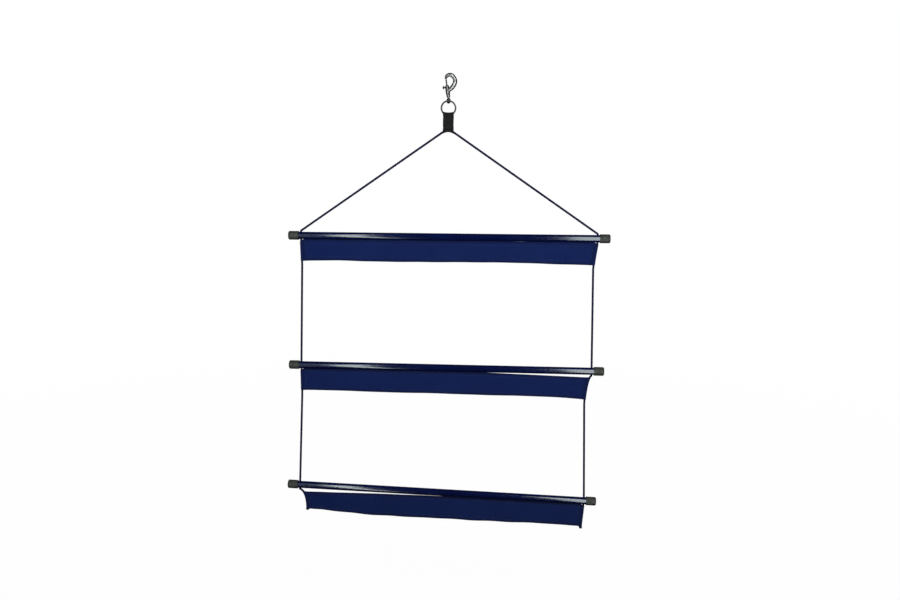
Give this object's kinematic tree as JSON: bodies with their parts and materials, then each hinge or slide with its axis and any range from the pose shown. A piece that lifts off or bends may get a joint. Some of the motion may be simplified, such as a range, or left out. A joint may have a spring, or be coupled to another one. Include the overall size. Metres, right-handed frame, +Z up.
{
  "type": "hanging drying rack",
  "caption": "Hanging drying rack: a swivel bolt snap, ring and webbing loop carry a rope bridle with stacked navy bars, each with a cloth strip below.",
  "frame": {"origin": "where the hook's underside bears on what it hangs from, on the line of the load", "axes": "+Z up, +X along the bars towards the hook's closed side, +Y to the back"},
  "size_m": [0.9786, 0.0266, 1.3891],
  "materials": {
    "dark_nickel": "polished dark nickel plate on a zinc casting",
    "spring_steel": "bright drawn wire",
    "ring_steel": "dull dark nickel-plated wire",
    "black_webbing": "woven nylon webbing, matte",
    "black_thread": "bonded sewing thread",
    "navy_rope": "solid braided cord, satin",
    "navy_tube": "glossy deep navy",
    "cap_rubber": "matte mottled grey rubber",
    "navy_cloth": "plain woven nylon cloth, matte"
  },
  "bodies": {
    "snap": {"snap_body": "dark_nickel", "bolt_spring": "spring_steel"},
    "bolt": {"snap_bolt": "dark_nickel", "thumb_stud": "dark_nickel"},
    "swivel": {"swivel_eye": "dark_nickel"},
    "ring": {"o_ring": "ring_steel"},
    "webbing": {"webbing_loop": "black_webbing", "webbing_stitching": "black_thread"},
    "bridle": {"bridle_rope": "navy_rope"},
    "top_bar": {"top_tube": "navy_tube", "top_cap_left": "cap_rubber", "top_cap_right": "cap_rubber", "top_bar_knots": "navy_rope"},
    "upper_ladder": {"upper_rope_left": "navy_rope", "upper_rope_right": "navy_rope", "top_strip": "navy_cloth"},
    "middle_bar": {"middle_tube": "navy_tube", "middle_cap_left": "cap_rubber", "middle_cap_right": "cap_rubber", "middle_bar_knots": "navy_rope"},
    "lower_ladder": {"lower_rope_left": "navy_rope", "lower_rope_right": "navy_rope", "middle_strip": "navy_cloth"},
    "bottom_bar": {"bottom_tube": "navy_tube", "bottom_cap_left": "cap_rubber", "bottom_cap_right": "cap_rubber", "bottom_bar_knots": "navy_rope"},
    "tail": {"tail_rope_left": "navy_rope", "tail_rope_right": "navy_rope", "tail_knot_left": "navy_rope", "tail_knot_right": "navy_rope", "bottom_strip": "navy_cloth"}
  },
  "joints": [
    {"name": "bolt_slide", "type": "slide", "parent": "snap", "child": "bolt", "axis": [0.1564, 0, -0.9877], "range_m": [0, 0.011], "stiffness_N_per_m": 300, "springref_m": -0.012, "deforming": ["bolt_spring"]},
    {"name": "swivel_turn", "type": "hinge", "parent": "snap", "child": "swivel", "pos_m": [0, 0, -0.06], "axis": [0, 0, 1], "continuous": true},
    {"name": "ring_swing", "type": "hinge", "parent": "swivel", "child": "ring", "pos_m": [0, 0, -0.0692], "axis": [1, 0, 0], "range_deg": [-60, 60]},
    {"name": "webbing_swing", "type": "hinge", "parent": "ring", "child": "webbing", "pos_m": [0, 0, -0.09], "axis": [0, 1, 0], "range_deg": [-35, 35]},
    {"name": "bridle_tilt", "type": "hinge", "parent": "webbing", "child": "bridle", "pos_m": [0, 0, -0.1826], "axis": [0, 1, 0], "range_deg": [-6, 6]},
    {"name": "top_bar_turn", "type": "hinge", "parent": "bridle", "child": "top_bar", "pos_m": [0.0041, 0, -0.4554], "axis": [-1, 0, -0.007], "range_deg": [-90, 90]},
    {"name": "upper_ladder_fold", "type": "hinge", "parent": "top_bar", "child": "upper_ladder", "pos_m": [0.0043, 0, -0.484], "axis": [1, 0, 0.007], "range_deg": [-90, 90]},
    {"name": "middle_bar_turn", "type": "hinge", "parent": "upper_ladder", "child": "middle_bar", "pos_m": [0.00088, 0, -0.8582], "axis": [-1, 0, -0.0017], "range_deg": [-90, 90]},
    {"name": "lower_ladder_fold", "type": "hinge", "parent": "middle_bar", "child": "lower_ladder", "pos_m": [0.00093, 0, -0.8868], "axis": [-1, 0, -0.0017], "range_deg": [-90, 90]},
    {"name": "bottom_bar_turn", "type": "hinge", "parent": "lower_ladder", "child": "bottom_bar", "pos_m": [-0.00789, 0, -1.25871], "axis": [0.9996, 0, -0.0288], "range_deg": [-90, 90]},
    {"name": "tail_fold", "type": "hinge", "parent": "bottom_bar", "child": "tail", "pos_m": [-0.00871, 0, -1.28729], "axis": [0.9996, 0, -0.0288], "range_deg": [-90, 90]}
  ]
}
